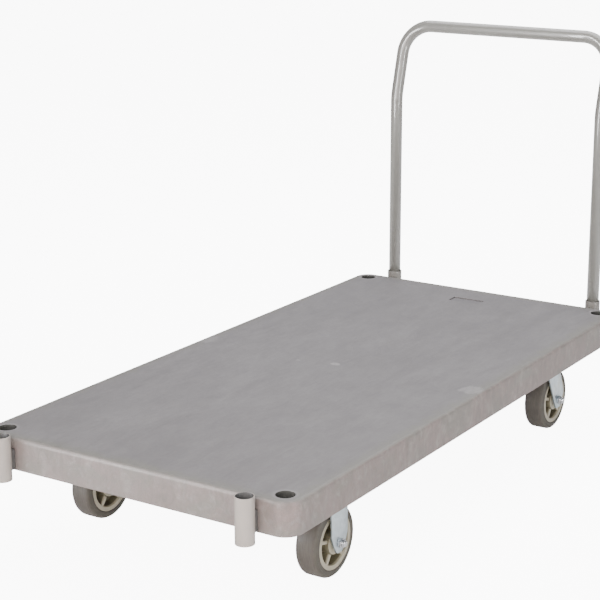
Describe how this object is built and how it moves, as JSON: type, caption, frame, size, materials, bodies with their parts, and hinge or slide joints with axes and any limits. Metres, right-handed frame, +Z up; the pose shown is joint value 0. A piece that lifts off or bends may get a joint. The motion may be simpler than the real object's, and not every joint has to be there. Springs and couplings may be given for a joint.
{
  "type": "platform cart",
  "caption": "Flat moulded platform cart on rigid and swivel casters, with a bent-tube push handle that lifts out of end sockets.",
  "frame": {"origin": "centre of the whole cart's box, on the floor", "axes": "+Z up, +Y along the deck's length towards the handle end, which is the rear; +X to the left of a person at the handle"},
  "size_m": [0.762, 1.666, 0.9604],
  "materials": {
    "deck_plastic": "dry, faintly mottled moulded grey plastic",
    "handle_paint": "semi-gloss light grey paint",
    "socket_paint": "satin warm light grey paint",
    "tread_rubber": "matte grey-brown tread",
    "core_plastic": "satin beige moulded core",
    "zinc_steel": "bright zinc plate, slightly mottled",
    "zinc_fasteners": "bright zinc plate",
    "bearing_steel": "ground steel"
  },
  "bodies": {
    "deck": {"caster_bolts": "zinc_fasteners", "caster_lock_washers": "zinc_fasteners", "caster_threaded_inserts": "zinc_fasteners", "deck": "deck_plastic", "front_left_axle_bolt": "zinc_fasteners", "front_left_axle_nut": "zinc_fasteners", "front_left_axle_sleeve": "bearing_steel", "front_left_caster_plate": "zinc_steel", "front_left_rigid_fork": "zinc_steel", "front_left_socket_bracket": "socket_paint", "front_left_socket_tube": "socket_paint", "front_left_thrust_washers": "zinc_fasteners", "front_right_axle_bolt": "zinc_fasteners", "front_right_axle_nut": "zinc_fasteners", "front_right_axle_sleeve": "bearing_steel", "front_right_caster_plate": "zinc_steel", "front_right_rigid_fork": "zinc_steel", "front_right_socket_bracket": "socket_paint", "front_right_socket_tube": "socket_paint", "front_right_thrust_washers": "zinc_fasteners", "rear_left_caster_plate": "zinc_steel", "rear_left_kingpin": "zinc_fasteners", "rear_left_socket_bracket": "socket_paint", "rear_left_socket_tube": "socket_paint", "rear_right_caster_plate": "zinc_steel", "rear_right_kingpin": "zinc_fasteners", "rear_right_socket_bracket": "socket_paint", "rear_right_socket_tube": "socket_paint", "socket_backing_plates": "zinc_fasteners", "socket_bolts": "zinc_fasteners", "socket_floor_discs": "socket_paint"},
    "handle": {"push_handle": "handle_paint"},
    "rear_left_swivel": {"rear_left_swivel_fork": "zinc_steel", "rear_left_race_balls": "bearing_steel", "rear_left_axle_sleeve": "bearing_steel", "rear_left_thrust_washers": "zinc_fasteners", "rear_left_axle_bolt": "zinc_fasteners", "rear_left_axle_nut": "zinc_fasteners"},
    "rear_right_swivel": {"rear_right_swivel_fork": "zinc_steel", "rear_right_race_balls": "bearing_steel", "rear_right_axle_sleeve": "bearing_steel", "rear_right_thrust_washers": "zinc_fasteners", "rear_right_axle_bolt": "zinc_fasteners", "rear_right_axle_nut": "zinc_fasteners"},
    "front_left_wheel": {"front_left_tyre": "tread_rubber", "front_left_wheel_core": "core_plastic", "front_left_roller_bearing": "bearing_steel"},
    "front_right_wheel": {"front_right_tyre": "tread_rubber", "front_right_wheel_core": "core_plastic", "front_right_roller_bearing": "bearing_steel"},
    "rear_left_wheel": {"rear_left_tyre": "tread_rubber", "rear_left_wheel_core": "core_plastic", "rear_left_roller_bearing": "bearing_steel"},
    "rear_right_wheel": {"rear_right_tyre": "tread_rubber", "rear_right_wheel_core": "core_plastic", "rear_right_roller_bearing": "bearing_steel"}
  },
  "joints": [
    {"name": "handle_lift", "type": "slide", "parent": "deck", "child": "handle", "axis": [0, 0, 1], "range_m": [0, 0.12]},
    {"name": "front_left_roll", "type": "hinge", "parent": "deck", "child": "front_left_wheel", "pos_m": [0.2865, -0.52197, 0.0762], "axis": [1, 0, 0], "continuous": true},
    {"name": "rear_left_swivel_turn", "type": "hinge", "parent": "deck", "child": "rear_left_swivel", "pos_m": [0.2865, 0.47853, 0.1905], "axis": [0, 0, 1], "continuous": true},
    {"name": "rear_left_roll", "type": "hinge", "parent": "rear_left_swivel", "child": "rear_left_wheel", "pos_m": [0.2865, 0.51653, 0.0762], "axis": [1, 0, 0], "continuous": true},
    {"name": "front_right_roll", "type": "hinge", "parent": "deck", "child": "front_right_wheel", "pos_m": [-0.2865, -0.52197, 0.0762], "axis": [1, 0, 0], "continuous": true},
    {"name": "rear_right_swivel_turn", "type": "hinge", "parent": "deck", "child": "rear_right_swivel", "pos_m": [-0.2865, 0.47853, 0.1905], "axis": [0, 0, 1], "continuous": true},
    {"name": "rear_right_roll", "type": "hinge", "parent": "rear_right_swivel", "child": "rear_right_wheel", "pos_m": [-0.2865, 0.51653, 0.0762], "axis": [1, 0, 0], "continuous": true}
  ]
}
